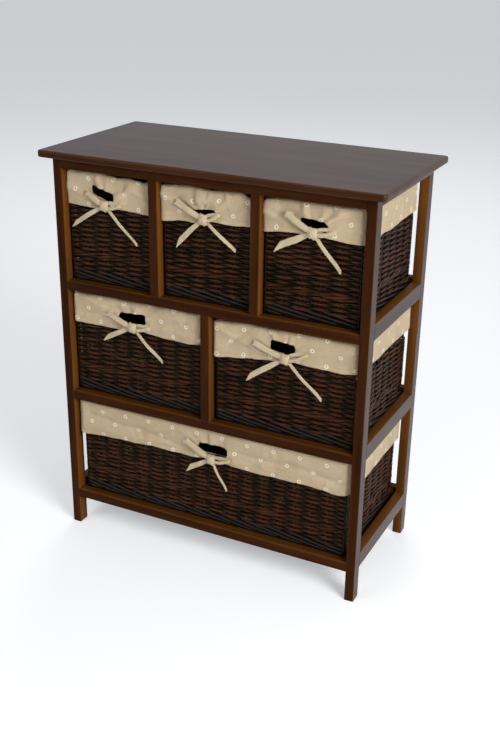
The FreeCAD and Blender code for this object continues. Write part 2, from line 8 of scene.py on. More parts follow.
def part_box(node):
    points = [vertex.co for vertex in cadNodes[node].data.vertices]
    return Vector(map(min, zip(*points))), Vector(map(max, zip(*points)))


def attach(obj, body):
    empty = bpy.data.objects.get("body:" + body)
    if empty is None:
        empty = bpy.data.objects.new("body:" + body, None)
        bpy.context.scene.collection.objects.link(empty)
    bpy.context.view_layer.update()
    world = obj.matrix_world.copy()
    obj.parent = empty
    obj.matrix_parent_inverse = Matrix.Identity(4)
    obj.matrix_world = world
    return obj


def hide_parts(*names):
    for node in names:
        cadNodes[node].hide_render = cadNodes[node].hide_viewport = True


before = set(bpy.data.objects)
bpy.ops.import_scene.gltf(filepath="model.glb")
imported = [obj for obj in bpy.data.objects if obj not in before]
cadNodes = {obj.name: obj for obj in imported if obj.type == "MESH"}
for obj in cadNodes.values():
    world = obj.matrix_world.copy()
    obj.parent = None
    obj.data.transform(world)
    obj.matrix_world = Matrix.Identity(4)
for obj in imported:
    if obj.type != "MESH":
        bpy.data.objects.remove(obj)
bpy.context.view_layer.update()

mm = 0.001
print("frame loaded:", len(cadNodes), "nodes")


class Flow:  # a number or vector on its way through a node tree, so that sums read as sums
    def __init__(self, tree, socket):
        self.tree = tree
        self.socket = socket

    def math(self, operation, *others, clamp=False):
        node = self.tree.nodes.new("ShaderNodeMath")
        node.operation = operation
        node.use_clamp = clamp
        for place, value in zip(node.inputs, (self, *others)):
            feed(self.tree, place, value)
        return Flow(self.tree, node.outputs[0])

    def __add__(self, other):
        return self.math("ADD", other)

    def __sub__(self, other):
        return self.math("SUBTRACT", other)

    def __mul__(self, other):
        return self.math("MULTIPLY", other)

    def __truediv__(self, other):
        return self.math("DIVIDE", other)

    def unit(self):
        return self.math("ADD", 0.0, clamp=True)

    def between(self, low, high):
        return self.math("MAXIMUM", low).math("MINIMUM", high)


def feed(tree, place, value):
    if isinstance(value, Flow):
        tree.links.new(value.socket, place)
    elif value is not None:
        place.default_value = value


def put(tree, kind, inputs=None, **settings):
    node = tree.nodes.new(kind)
    for name, value in settings.items():
        setattr(node, name, value)
    for name, value in (inputs or {}).items():
        feed(tree, node.inputs[name], value)
    return node


def out(tree, node, name=0):
    return Flow(tree, node.outputs[name])


def vector(tree, x, y, z):
    return out(tree, put(tree, "ShaderNodeCombineXYZ", {"X": x, "Y": y, "Z": z}))


def newPiece(name, mesh):
    piece = bpy.data.objects.new(name, mesh)
    bpy.context.scene.collection.objects.link(piece)
    return piece


def meshFrom(bm, name):
    mesh = bpy.data.meshes.new(name)
    bm.to_mesh(mesh)
    bm.free()
    return mesh


def settle(piece):  # turns what the modifiers make into the piece's own plain mesh
    bpy.context.view_layer.update()
    made = bpy.data.meshes.new_from_object(piece.evaluated_get(bpy.context.evaluated_depsgraph_get()))
    piece.modifiers.clear()
    piece.data = made
    made.name = piece.name
    return piece


# Materials

def newMaterial(name, **look):
    material = bpy.data.materials.new(name)
    material.use_nodes = True
    tree = material.node_tree
    surface = tree.nodes["Principled BSDF"]
    for socket, value in look.items():
        surface.inputs[socket.replace("_", " ")].default_value = value
    return material, tree, surface


def ramp(tree, factor, stops):
    node = put(tree, "ShaderNodeValToRGB", {"Fac": factor})
    elements = node.color_ramp.elements
    while len(elements) < len(stops):
        elements.new(0.5)
    for element, (place, colour) in zip(elements, stops):
        element.position = place
        element.color = (*colour, 1)
    return out(tree, node, "Color")


def mixColour(tree, factor, under, over):
    node = put(tree, "ShaderNodeMix", data_type="RGBA")
    feed(tree, node.inputs[0], factor)
    feed(tree, node.inputs[6], (*under, 1) if isinstance(under, tuple) else under)
    feed(tree, node.inputs[7], (*over, 1) if isinstance(over, tuple) else over)
    return Flow(tree, node.outputs[2])


def noiseFac(tree, place, scale, detail=3.0, roughness=0.6, distortion=0.0):
    return out(tree, put(tree, "ShaderNodeTexNoise", {
        "Vector": place, "Scale": scale, "Detail": detail, "Roughness": roughness, "Distortion": distortion}), "Fac")


def bump(tree, surface, height, distance, strength=1.0):
    node = put(tree, "ShaderNodeBump", {"Height": height, "Strength": strength, "Distance": distance})
    tree.links.new(node.outputs["Normal"], surface.inputs["Normal"])


woodLook = {
    "dark": (0.0200, 0.0054, 0.0010),
    "middle": (0.0370, 0.0108, 0.0021),
    "light": (0.0610, 0.0205, 0.0050),
    "inner": (0.190, 0.070, 0.0150),
    "innerShare": 1.0,
    # edge colour: rubbed wear on the rounded edges, also painting a highlight along them
    "edge": (0.230, 0.100, 0.036),
    "edgeWearHighlightShare": 0.8,
    "grainScale": 46.0,
    "grainStretch": 0.055,
    "poreScale": 420.0,
    "poreDepth": 0.00012,
    "roughness": 0.5,
    "specular": 0.03,
    "coat": 0.54,
    "frontCoat": 0.015,
    "coatRoughness": 0.17,
    "coatIOR": 1.33,
    "faceFade": 1500.0,
    "faceReach": 1.9,
    # how fast the inner faces fall into painted shade away from the openings, and the least of their light
    "sideShadeFade": 55.0,
    "frontShadeFade": 42.0,
    "ledgeShadowFade": 100.0,
    "leastInnerLight": 0.3,
    "wearHighlightFade": 5.0,
}
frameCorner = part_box("post_front_left")[0]


def stainedWood(name, along, look=woodLook, shift=0.0):
    material, tree, surface = newMaterial(
        name, Roughness=look["roughness"], Specular_IOR_Level=look["specular"],
        Coat_Roughness=look["coatRoughness"], Coat_IOR=look["coatIOR"])
    place = out(tree, put(tree, "ShaderNodeTexCoord"), "Object")
    stretch = [1.0, 1.0, 1.0]
    stretch["XYZ".index(along)] = look["grainStretch"]
    grain = out(tree, put(tree, "ShaderNodeMapping", {
        "Vector": place, "Scale": stretch, "Location": (shift, shift, shift)}))
    figure = noiseFac(tree, grain, look["grainScale"], 5.0, 0.6, 0.6)
    pores = noiseFac(tree, grain, look["poreScale"], 2.0, 0.7)
    patches = noiseFac(tree, place, 9.0, 2.0, 0.5)
    blend = figure * 0.66 + pores * 0.2 + patches * 0.14
    colour = ramp(tree, blend, [(0.36, look["dark"]), (0.51, look["middle"]), (0.68, look["light"])])
    # the stain lies thinner on the faces inside the frame, under a painted shade that deepens away from the openings
    # and behind the rail tops' front edges, and the edges are lightened as rubbed wear and painted highlight
    spot = put(tree, "ShaderNodeSeparateXYZ", {"Vector": place})
    awayX = out(tree, spot, "X").math("ABSOLUTE") + frameCorner.x
    awayY = out(tree, spot, "Y").math("ABSOLUTE") + frameCorner.y
    outerX = (awayX * look["faceFade"] + look["faceReach"]).unit()
    outerY = (awayY * look["faceFade"] + look["faceReach"]).unit()
    normal = put(tree, "ShaderNodeSeparateXYZ", {"Vector": out(tree, put(tree, "ShaderNodeNewGeometry"), "Normal")})
    leanX, leanY, leanZ = (out(tree, normal, axis).math("ABSOLUTE") for axis in "XYZ")
    # painted shade: the inner colour fades from the front and side openings inward, steeply on upward faces such as
    # the rail tops, for the shade and contact shadow of the baskets
    paintedFrontLight = awayY * (leanZ * look["ledgeShadowFade"] + look["frontShadeFade"]) + 1.0
    paintedOpeningLight = (awayX * look["sideShadeFade"] + 1.0).math("MAXIMUM", paintedFrontLight).unit()
    paintedOpeningLight = paintedOpeningLight * (1 - look["leastInnerLight"]) + look["leastInnerLight"]
    # the rounded edges are lightened, partly as rubbed wear and partly as a painted highlight
    wornHighlitEdge = ((leanX.math("MAXIMUM", leanY).math("MAXIMUM", leanZ) * -1.0 + 1.0) * look["wearHighlightFade"]).unit()
    lighter = ramp(tree, blend, [(0.36, tuple(v * 0.6 for v in look["inner"])), (0.66, look["inner"])])
    within = outerX.math("MAXIMUM", outerY) * -1.0 + 1.0
    colour = mixColour(tree, within * paintedOpeningLight * look["innerShare"], colour, lighter)
    wornHighlitEdge = wornHighlitEdge * (pores * 0.9 + 0.35) * (within * 0.75 + 0.25)
    colour = mixColour(tree, wornHighlitEdge * look["edgeWearHighlightShare"], colour, look["edge"])
    feed(tree, surface.inputs["Base Color"], colour)
    feed(tree, surface.inputs["Coat Weight"],
         outerX * leanX * (look["coat"] - look["frontCoat"]) + look["frontCoat"])
    bump(tree, surface, pores * 0.6 + figure * 0.4, look["poreDepth"])
    return material


willowLook = {
    "black": (0.0016, 0.0009, 0.0007),
    "brown": (0.0150, 0.0056, 0.0024),
    "red": (0.0580, 0.0175, 0.0076),
    # a cool grey that paints the border rods' highlight
    "paintedGreyHighlight": (0.0200, 0.0152, 0.0142),
    "roughness": 0.34,
    "specular": 0.13,
    "specularTint": (1.0, 0.74, 0.52, 1.0),
    "coat": 0.02,
    "coatRoughness": 0.25,
}


def willowMaterial():
    look = willowLook
    material, tree, surface = newMaterial(
        "stainedWillow", Roughness=look["roughness"], Specular_IOR_Level=look["specular"],
        Specular_Tint=look["specularTint"], Coat_Weight=look["coat"], Coat_Roughness=look["coatRoughness"])
    # the rods' random tone, with painted shade baked into it
    tone = out(tree, put(tree, "ShaderNodeAttribute", attribute_name="rodToneAndShade"), "Fac")
    place = out(tree, put(tree, "ShaderNodeTexCoord"), "Object")
    patches = noiseFac(tree, place, 55.0)
    streaks = noiseFac(tree, place, 640.0, 3.0, 0.65)
    blend = tone * 0.62 + patches * 0.26 + streaks * 0.12
    # the last stop is a cool grey painted highlight, reached only by the border rods
    colour = ramp(tree, blend, [(0.39, look["black"]), (0.51, look["brown"]), (0.72, look["red"]),
                                (0.97, look["paintedGreyHighlight"])])
    feed(tree, surface.inputs["Base Color"], colour)
    bump(tree, surface, streaks, 0.00018)
    return material


clothLook = {
    "cream": (0.515, 0.402, 0.262),
    "shade": (0.415, 0.322, 0.205),
    "slub": (0.590, 0.490, 0.345),
    "ringWhite": (0.80, 0.74, 0.60),
    "ringDark": (0.10, 0.062, 0.035),
    "columnPitch": 48 * mm,
    "rowPitch": 22 * mm,
    "ringRadius": 2.5 * mm,
    "ringWidth": 1.6 * mm,
    "dotRadius": 0.9 * mm,
    "threadPitch": 0.8 * mm,
    "seam": 7 * mm,
    "crease": 0.0026,
}


def clothMaterial(name, printed, look=clothLook):
    material, tree, surface = newMaterial(
        name, Roughness=0.9, Specular_IOR_Level=0.25, Sheen_Weight=0.2, Sheen_Roughness=0.5)
    uv = out(tree, put(tree, "ShaderNodeUVMap", uv_map="cloth"))
    place = out(tree, put(tree, "ShaderNodeTexCoord"), "Object")
    parts = put(tree, "ShaderNodeSeparateXYZ", {"Vector": uv})
    u = out(tree, parts, "X")
    v = out(tree, parts, "Y")
    threads = (u * (2 * math.pi / look["threadPitch"])).math("SINE") * (
        v * (2 * math.pi / look["threadPitch"])).math("SINE") * 0.5 + 0.5
    weft = noiseFac(tree, out(tree, put(tree, "ShaderNodeMapping", {"Vector": uv, "Scale": (1.0, 9.0, 1.0)})), 190.0,
                    3.0, 0.7)
    warp = noiseFac(tree, out(tree, put(tree, "ShaderNodeMapping", {"Vector": uv, "Scale": (9.0, 1.0, 1.0)})), 170.0,
                    3.0, 0.7)
    patches = noiseFac(tree, place, 28.0)
    creases = noiseFac(tree, place, 34.0, 4.0, 0.55, 1.4)
    blend = weft * 0.3 + warp * 0.2 + patches * 0.36 + threads * 0.14
    colour = ramp(tree, blend, [(0.36, look["shade"]), (0.50, look["cream"]), (0.66, look["slub"])])
    seam = ((v - look["seam"]).math("ABSOLUTE") / 0.0007 * -1.0 + 1.4).unit()
    if printed:
        colour = mixColour(tree, seam * 0.3, colour, look["shade"])
        pattern = put(tree, "ShaderNodeSeparateXYZ", {
            "Vector": out(tree, put(tree, "ShaderNodeUVMap", uv_map="print"))})
        across = out(tree, pattern, "X") / look["columnPitch"]
        up = out(tree, pattern, "Y") / look["rowPitch"] + 0.5
        du = ((across + up.math("FLOOR").math("MODULO", 2.0) * 0.5 + 0.5).math("FRACT") - 0.5) * look["columnPitch"]
        dv = (up.math("FRACT") - 0.5) * look["rowPitch"]
        far = (du * du + dv * dv).math("SQRT") + (weft - 0.5) * 0.0012
        ring = (((far - look["ringRadius"]).math("ABSOLUTE") / look["ringWidth"]) * -2.4 + 2.2).unit()
        dot = ((far / look["dotRadius"]) * -2.0 + 2.4).unit()
        colour = mixColour(tree, ring * 0.85, colour, look["ringWhite"])
        colour = mixColour(tree, dot * 0.85, colour, look["ringDark"])
        threads = threads + ring * 0.8 - seam * 2.0
    feed(tree, surface.inputs["Base Color"], colour)
    bump(tree, surface, creases + (threads + weft + warp) * 0.07, look["crease"])
    return material


# Willow weave

weaveLook = {
    "rodPitch": 4.2 * mm,
    "rodRadius": 2.25 * mm,
    "swing": 2.5 * mm,
    "wobble": 0.75 * mm,
    "wall": 8.0 * mm,
    "bend": 1.9 * mm,
    "taper": 0.5 * mm,
    "walingHeight": 48.5 * mm,
    "borderTop": 21.5 * mm,
    "borderLow": 3.2 * mm,
    "borderSpan": 4,
    "borderGap": 1.5,
    "frontSpread": 1.2 * mm,
    "cuffGrip": 8.0 * mm,
    "cuffFade": 10.0 * mm,
    "cornerReach": 9.0 * mm,
    "cornerProud": 1.4 * mm,
    "lowRows": 18.0 * mm,
    "lowFade": 4.0 * mm,
    "lowestRod": 2.5 * mm,
    "floorPitch": 4.6 * mm,
    "floorHeight": 4.8 * mm,
    "floorWave": 1.1 * mm,
    "floorWaveLength": 30.0 * mm,
    "seed": 7,
}
stepsPerStake = 6
stakeSteps = 14
floorSteps = 40
stickSteps = 8
rodSides = 6
weaveInputs = ("centreX", "centreY", "floorZ", "width", "depth", "height", "stakesAcross", "stakesDeep", "toLeft",
               "toRight", "hem", "holeX", "holeZ", "holeWidth", "holeHeight", "seed")


def weaveTree():
    tree = bpy.data.node_groups.new("wovenBasket", "GeometryNodeTree")
    tree.interface.new_socket(name="Geometry", in_out="OUTPUT", socket_type="NodeSocketGeometry")
    for name in weaveInputs:
        tree.interface.new_socket(name=name, in_out="INPUT", socket_type="NodeSocketFloat")
    tree.interface.new_socket(name="willow", in_out="INPUT", socket_type="NodeSocketMaterial")
    entry = tree.nodes.new("NodeGroupInput")
    g = {socket.name: Flow(tree, socket) for socket in entry.outputs if socket.name}
    look = weaveLook
    radius = look["rodRadius"]
    swing = look["swing"]
    across = g["stakesAcross"]
    deep = g["stakesDeep"]
    stakes = (across + deep) * 2.0
    steps = float(stepsPerStake)

    def wander(a, b, scale=1.0):  # smooth noise about nought
        return noiseFac(tree, vector(tree, a, b, g["seed"]), scale, 1.0) - 0.5

    def onWall(s, z, proud):  # stake number, height and distance past the middle of the wall, rounded at the corners
        lean = (z / g["height"] * -1.0 + 1.0) * look["taper"] + look["wall"] * 0.5
        side1 = (s / across).unit()
        side2 = ((s - across) / deep).unit()
        side3 = ((s - across - deep) / across).unit()
        side4 = ((s - across * 2.0 - deep) / deep).unit()
        share = (side1 - side3 - 0.5) * 2.0
        atLeft = share.math("LESS_THAN", 0.0)
        free = ((z - g["hem"] - look["cuffGrip"]) / -look["cuffFade"]).unit()  # the cuff holds the weave in
        halfX = g["width"] * 0.5 - lean + (atLeft * (g["toLeft"] - g["toRight"]) + g["toRight"]) * free
        halfY = g["depth"] * 0.5 - lean + free * look["frontSpread"]
        x = share * halfX
        y = (side2 - side4 - 0.5) * 2.0 * halfY
        corner = ((halfX - x.math("ABSOLUTE") + halfY - y.math("ABSOLUTE")) / -look["cornerReach"] + 1.0).unit()
        proud = proud * (corner * -1.0 + 1.0) + corner * look["cornerProud"]
        reachX = halfX - look["bend"]
        reachY = halfY - look["bend"]
        cornerX = x.between(reachX * -1.0, reachX)
        cornerY = y.between(reachY * -1.0, reachY)
        awayX = x - cornerX
        awayY = y - cornerY
        grow = (proud + look["bend"]) / (awayX * awayX + awayY * awayY).math("SQRT").math("MAXIMUM", 1e-6)
        return vector(tree, cornerX + awayX * grow + g["centreX"], cornerY + awayY * grow + g["centreY"],
                      z + g["floorZ"])

    def rods(count, steps, route, thickness, closed):
        index = out(tree, put(tree, "GeometryNodeInputIndex"))
        rod = ((index + 0.5) / steps).math("FLOOR")
        step = index - rod * steps
        place, tone = route(rod, step)
        cloud = out(tree, put(tree, "GeometryNodeSetPosition", {
            "Geometry": out(tree, put(tree, "GeometryNodePoints", {"Count": count * steps})), "Position": place}))
        for name, value in (("rodToneAndShade", tone), ("rodThickness", thickness(rod, step)), ("rodNumber", rod),
                            ("rodStep", step)):
            cloud = out(tree, put(tree, "GeometryNodeStoreNamedAttribute", {
                "Geometry": cloud, "Name": name, "Value": value}, data_type="FLOAT", domain="POINT"))

        def kept(name):
            return out(tree, put(tree, "GeometryNodeInputNamedAttribute", {"Name": name}, data_type="FLOAT"))

        curves = out(tree, put(tree, "GeometryNodePointsToCurves", {
            "Points": cloud, "Curve Group ID": kept("rodNumber"), "Weight": kept("rodStep")}))
        curves = out(tree, put(tree, "GeometryNodeSetSplineCyclic", {"Geometry": curves, "Cyclic": closed}))
        lines = out(tree, put(tree, "GeometryNodeCurveToMesh", {"Curve": curves}))
        position = put(tree, "ShaderNodeSeparateXYZ", {"Vector": out(tree, put(tree, "GeometryNodeInputPosition"))})
        besideHole = (out(tree, position, "X") - g["holeX"]).math("ABSOLUTE").math(
            "LESS_THAN", g["holeWidth"] * 0.5)
        levelWithHole = (out(tree, position, "Z") - g["holeZ"]).math("ABSOLUTE").math(
            "LESS_THAN", g["holeHeight"] * 0.5)
        atFront = (out(tree, position, "Y") - g["centreY"]).math("LESS_THAN", 0.0)
        lines = out(tree, put(tree, "GeometryNodeDeleteGeometry", {
            "Geometry": lines, "Selection": besideHole * levelWithHole * atFront}, domain="POINT"))
        curves = out(tree, put(tree, "GeometryNodeMeshToCurve", {"Mesh": lines}))
        ring = out(tree, put(tree, "GeometryNodeCurvePrimitiveCircle", {"Resolution": rodSides, "Radius": 1.0}),
                   "Curve")
        return out(tree, put(tree, "GeometryNodeCurveToMesh", {
            "Curve": curves, "Profile Curve": ring, "Scale": kept("rodThickness"), "Fill Caps": True}))

    def wallRoute(rod, step):
        s = step / steps
        z = (rod + 0.6) * look["rodPitch"] + wander(s * 0.35, rod * 2.3) * look["wobble"] * 2.0
        z = z.math("MAXIMUM", look["lowestRod"])
        wave = ((s + rod) * math.pi).math("COSINE")
        low = ((z - look["lowRows"]) / -look["lowFade"]).unit()
        # painted shade: rods darken where they pass behind the stakes, and the low rows under the border go nearly
        # black
        tone = wander(s * 0.23, rod * 5.1) * 1.0 + 0.48 + (wave - 0.2) * 0.42 - low * 0.7
        return onWall(s, z, wave * swing * (low * -0.7 + 1.0) - low * mm), tone

    def walingRoute(rod, step):
        s = step / steps
        turn = (s + rod) * (2 * math.pi / 3)
        z = turn.math("SINE") * radius * 1.3 + look["walingHeight"]
        wave = turn.math("COSINE")
        # painted shade: the waling rods darken where they turn behind
        tone = wander(s * 0.3, rod * 3.7 + 40.0) + 0.5 + wave * 0.2
        return onWall(s, z, wave * swing + swing * 0.4), tone

    def stakeRoute(rod, step):
        z = g["height"] * step / (stakeSteps - 1.0) * 0.985 + 2 * mm
        tone = wander(rod * 3.1, step * 0.1) * 0.5 + 0.22
        return onWall(rod + wander(rod * 7.7, step * 0.3) * 0.12, z, rod * 0.0), tone

    def borderRoute(rod, step):
        along = step / (look["borderSpan"] * steps)
        s = (rod * look["borderGap"] + step / steps).math("MODULO", stakes)
        z = along.math("POWER", 1.1) * (look["borderLow"] - look["borderTop"]) + look["borderTop"]
        arch = (along * math.pi).math("SINE").math("POWER", 0.45)
        # painted highlight: the border rods' tone reaches the ramp's grey stop, more where they arch out
        tone = wander(rod * 4.3, step * 0.05) * 0.5 + 1.4 + arch * 0.12
        return onWall(s, z, (arch * 2.35 - 0.9) * swing), tone

    def floorRoute(rod, step):
        inside = g["width"] - look["wall"] * 2.0
        x = (step / (floorSteps - 1.0) - 0.5) * inside
        y = ((rod + 0.5) / floorRods - 0.5) * insideDeep
        wave = ((x / look["floorWaveLength"] + rod) * math.pi).math("COSINE")
        place = vector(tree, x + g["centreX"], y + g["centreY"],
                       g["floorZ"] + look["floorHeight"] + wave * look["floorWave"])
        return place, wander(x * 8.0, rod * 2.9) + 0.48

    def stickRoute(rod, step):
        x = ((rod + 1.0) / (across + 1.0) - 0.5) * g["width"]
        y = (step / (stickSteps - 1.0) - 0.5) * insideDeep
        place = vector(tree, x + g["centreX"], y + g["centreY"], g["floorZ"] + look["floorHeight"])
        return place, rod * 0.0 + 0.42

    def rimRoute(rod, step):
        z = g["height"] - radius * 1.5 + rod * 0.0
        return onWall(step / steps, z, rod * 0.0), step * 0.0 + 0.45

    def even(rod, step):
        return (wander(rod * 9.7, step * 0.02) * 0.5 + 1.0) * radius

    def slim(rod, step):
        return rod * 0.0 + radius * 0.95

    def stout(rod, step):
        return rod * 0.0 + radius * 1.12

    def tapered(rod, step):
        return (step / (look["borderSpan"] * steps) * -0.40 + 1.06) * radius

    one = stakes * 0.0 + 1.0
    around = stakes * steps
    rows = (g["height"] / look["rodPitch"] - 1.6).math("FLOOR")
    borderRods = (stakes / look["borderGap"] + 0.01).math("FLOOR")
    insideDeep = g["depth"] - look["wall"] * 2.0
    floorRods = (insideDeep / look["floorPitch"]).math("FLOOR")
    parts = [
        rods(rows, around, wallRoute, even, True),
        rods(one * 3.0, around, walingRoute, stout, True),
        rods(stakes, float(stakeSteps), stakeRoute, slim, False),
        rods(borderRods, look["borderSpan"] * steps + 1.0, borderRoute, tapered, False),
        rods(floorRods, float(floorSteps), floorRoute, slim, False),
        rods(across, float(stickSteps), stickRoute, slim, False),
        rods(one, around, rimRoute, stout, True),
    ]
    join = tree.nodes.new("GeometryNodeJoinGeometry")
    for part in reversed(parts):
        tree.links.new(part.socket, join.inputs[0])
    woven = out(tree, put(tree, "GeometryNodeSetShadeSmooth", {"Geometry": out(tree, join)}))
    woven = out(tree, put(tree, "GeometryNodeRealizeInstances", {"Geometry": woven}))
    woven = out(tree, put(tree, "GeometryNodeSetMaterial", {"Geometry": woven, "Material": g["willow"]}))
    tree.links.new(woven.socket, tree.nodes.new("NodeGroupOutput").inputs[0])
    return tree


def grow(piece, tree, settings):  # runs a tree on a piece with its inputs set, then keeps the mesh
    modifier = piece.modifiers.new("grown", "NODES")
    modifier.node_group = tree
    for item in tree.interface.items_tree:
        if item.item_type == "SOCKET" and item.in_out == "INPUT":
            modifier[item.identifier] = settings[item.name]
    return settle(piece)


# Baskets: stakes between corners across the front and along the side, how much wider the weave stands to the left
# and right than its wall, the knot's place, how far the cuff stands off in front and what room it has at the left
# and right between the posts, the headroom over the foot, the hand hole (aside from the knot, below the cuff's top,
# width, height, tilt), the print's place and the bow's limbs, as length, degrees up from the viewer's right, and the
# loop's spread or the tail's width. Hem, crest and folds are millimetres from the basket's middle and from its foot;
# a fold has two ends, a height and a width.
baskets = {
    "top_left": {
        "stakes": (5, 7), "spread": (2.4, 1.2), "knotAside": -5.5, "knotDrop": 41.5, "proud": 0.6, "room": (0.8, 0.8),
        "headroom": 190.5, "hole": (-3.5, 24, 44, 15.5, -0.3), "print": (10, 6),
        "loops": [(37, 151, 4), (31, 7, 6)], "tails": [(73, 211.5, 8), (85, 316.5, 5.5)],
        "hem": [(-76, 133), (-52, 132), (-26, 131), (-10, 138), (20, 135), (48, 134), (75, 132)],
        "crest": [(-77, 188), (-56, 187), (-27, 189), (-1, 187), (24, 185), (62, 184), (74, 184)],
        "folds": [(14, 148, 54, 182, 3.4, 7), (-14, 166, -30, 188, 2.6, 7), (26, 182, 34, 150, -2.4, 8),
                  (-74, 160, -34, 146, 2.0, 8), (48, 170, 74, 150, 1.8, 9)]},
    "top_middle": {
        "stakes": (5, 7), "spread": (1.6, 1.4), "knotAside": -2.5, "knotDrop": 39.5, "proud": 0.8, "room": (0.8, 0.8),
        "headroom": 190.5, "hole": (-1, 29.5, 44, 10, 0.12), "print": (-23, -6),
        "loops": [(53, 155, 4), (29, 20, 5)], "tails": [(66, 223.5, 9), (72, 323.5, 6)],
        "hem": [(-76, 128), (-43, 132), (-18, 133), (-5, 140), (12, 138), (47, 136), (76, 138)],
        "crest": [(-81, 183), (-58, 184), (-28, 186), (2, 184), (31, 188), (59, 188), (77, 182)],
        "folds": [(12, 150, 47, 184, 3.0, 7), (-26, 184, -20, 160, -2.6, 7), (-14, 168, 16, 170, 4.2, 13),
                  (-78, 172, -44, 152, 2.2, 9), (40, 150, 76, 165, 1.8, 9)]},
    "top_right": {
        "stakes": (5, 7), "spread": (2.0, 5.0), "knotAside": 3.2, "knotDrop": 35.5, "proud": 0.8, "room": (1.2, 6.0),
        "headroom": 190.5, "hole": (0.5, 23.5, 45, 15.5, -0.1), "print": (-10, 7),
        "loops": [(51, 151, 4), (37, 11, 6)], "tails": [(67, 206.5, 11), (73, 311.5, 6.5)],
        "hem": [(-80, 135), (-46, 139), (-16, 140), (3, 144), (30, 139), (62, 136), (86, 136)],
        "crest": [(-79, 186), (-61, 186), (-34, 188), (5, 188), (45, 189), (82, 188)],
        "folds": [(-16, 190, -12, 168, 2.8, 7), (30, 152, 84, 158, 1.8, 9), (26, 164, 62, 186, 2.4, 8),
                  (-82, 168, -44, 152, 2.0, 9), (-40, 188, -58, 165, -2.0, 8)]},
    "middle_left": {
        "stakes": (8, 7), "spread": (6.0, 3.4), "knotAside": -4, "knotDrop": 39.8, "proud": 2.2, "room": (3.4, 3.4),
        "headroom": 187.0, "hole": (-1.5, 25, 51, 18, 0.03), "print": (-22, 7),
        "loops": [(50, 160, 4), (33, 8, 5)], "tails": [(63, 206.5, 9), (79, 317.5, 6)],
        "hem": [(-121, 130), (-75, 131), (-31, 131), (-3, 138), (26, 133), (65, 131), (103, 130), (122, 132)],
        "crest": [(-121, 182), (-60, 184), (0, 183), (60, 185), (121, 183)],
        "folds": [(-104, 178, -26, 152, 2.0, 11), (30, 150, 112, 142, 2.0, 11), (18, 176, 64, 182, -1.8, 9),
                  (-70, 150, -110, 150, -1.6, 10), (50, 168, 112, 166, 1.6, 10)]},
    "middle_right": {
        "stakes": (8, 7), "spread": (3.4, 4.8), "knotAside": 5.2, "knotDrop": 40.3, "proud": 2.6, "room": (3.4, 4.0),
        "headroom": 187.0, "hole": (-6, 23.5, 43, 19, -0.1), "print": (-22, 6),
        "loops": [(58, 162, 4), (40, 20, 6)], "tails": [(80, 214.5, 9.5), (88, 318, 6)],
        "hem": [(-120, 118), (-88, 122), (-53, 127), (-17, 131), (5, 138), (29, 134), (69, 133), (100, 132),
                (123, 135)],
        "crest": [(-121, 178), (-60, 183), (0, 184), (60, 185), (121, 184)],
        "folds": [(-112, 166, -44, 144, 2.4, 10), (40, 150, 116, 170, 2.2, 10), (-22, 184, -14, 168, 2.0, 8),
                  (-60, 176, -100, 140, -1.8, 10), (60, 140, 110, 145, -1.6, 10)]},
    "bottom": {
        "stakes": (17, 7), "spread": (3.8, 4.6), "knotAside": 10, "knotDrop": 51.2, "proud": 4.0, "room": (7.0, 7.0),
        "headroom": 183.2, "hole": (2, 34, 56, 19, 0.0), "print": (-19, 4),
        "loops": [(54, 151, 3), (36, 9, 5)], "tails": [(54, 212, 9.5), (63, 299.5, 4.5)],
        "hem": [(-252, 117), (-203, 120), (-157, 122), (-98, 124), (-34, 123), (9, 129), (50, 123), (112, 122),
                (174, 123), (207, 122), (242, 119), (264, 124)],
        "crest": [(-254, 181), (-100, 183), (30, 182), (150, 184), (254, 182)],
        "folds": [(-240, 156, -130, 144, -2.6, 13), (-150, 150, -40, 138, -2.4, 12), (60, 150, 160, 146, -2.4, 12),
                  (150, 152, 245, 140, -2.2, 12), (-220, 130, -120, 132, 1.4, 9), (-30, 175, -90, 160, 1.5, 9),
                  (40, 165, 90, 175, 1.6, 9)]},
}
linerLook = {
    "wall": 8.0 * mm,
    "cornerRadius": 3.0 * mm,
    "taper": 3 * mm,
    "cuffTop": 180 * mm,
    "cloth": 1.0 * mm,
    "stand": 1.5 * mm,
    "slack": 6.0 * mm,
    "column": 2.6 * mm,
    "bagLow": 9.0 * mm,
    "shoulder": 4.0 * mm,
    "postDepth": 34.0 * mm,
    "outerRows": 24,
    "foldRows": 8,
    "innerRows": 10,
    "floorShares": (0.9, 0.76, 0.6, 0.44, 0.28, 0.12),
    "pleats": 9,
    "pleatHeight": 2.6 * mm,
    "pleatReach": 40.0 * mm,
    "pleatStart": 10.0 * mm,
}


def blendTable(table, x):
    if x <= table[0][0]:
        return table[0][1]
    for (x0, y0), (x1, y1) in zip(table, table[1:]):
        if x <= x1:
            t = (x - x0) / (x1 - x0)
            return y0 + (y1 - y0) * (t * t * (3 - 2 * t))
    return table[-1][1]


def acrossBack(table, share):  # from the table's first height to its last, in a straight line
    return (table[0][1] + (table[-1][1] - table[0][1]) * (share + 0.5)) * mm


